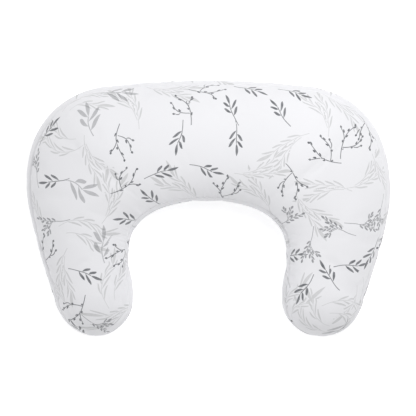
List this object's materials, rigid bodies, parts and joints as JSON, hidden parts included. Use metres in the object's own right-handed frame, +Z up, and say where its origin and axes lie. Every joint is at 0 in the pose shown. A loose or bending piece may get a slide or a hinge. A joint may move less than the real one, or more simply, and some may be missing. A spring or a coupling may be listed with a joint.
{
  "type": "nursing pillow",
  "caption": "U-shaped stuffed pillow with round arm ends, in a zipped leaf-print cotton cover; it lies flat and wraps around the waist.",
  "frame": {"origin": "below the middle of the whole pillow, on the plane of its flat underside", "axes": "+X along the longest extent, from one arm to the other, +Y to the closed back of the U, +Z up, away from the underside"},
  "size_m": [0.5798, 0.41, 0.15],
  "materials": {
    "printed_cotton": "matte",
    "plain_cotton": "matte",
    "thread": "satin",
    "zip_tape": "matte",
    "zip_coil": "satin",
    "zip_metal": "polished",
    "fibre": "matte"
  },
  "bodies": {
    "pillow": {"cover_top_panel": "printed_cotton", "cover_bottom_panel": "printed_cotton", "cover_seam_thread": "thread", "zip_tape_upper": "zip_tape", "zip_tape_lower": "zip_tape", "zip_coil_upper": "zip_coil", "zip_coil_lower": "zip_coil", "zip_closed_end_stop": "zip_metal", "zip_open_end_stop": "zip_metal", "zip_stitch_upper": "thread", "zip_stitch_lower": "thread", "inner_case_top": "plain_cotton", "inner_case_bottom": "plain_cotton", "inner_case_seam_thread": "thread", "stuffing_opening_stitch": "thread", "fibre_fill": "fibre"},
    "zip_slider": {"zip_slider_body": "zip_metal"},
    "zip_puller": {"zip_puller": "zip_metal"}
  },
  "joints": [
    {"name": "zip_run", "type": "hinge", "parent": "pillow", "child": "zip_slider", "pos_m": [0, -1.175, 0], "axis": [0, 0, 1], "range_deg": [0, 10.75]},
    {"name": "puller_swing", "type": "hinge", "parent": "zip_slider", "child": "zip_puller", "pos_m": [0.12873, 0.19272, 0.02764], "axis": [-0.0418, -0.4438, -0.8952], "range_deg": [0, 170]}
  ]
}
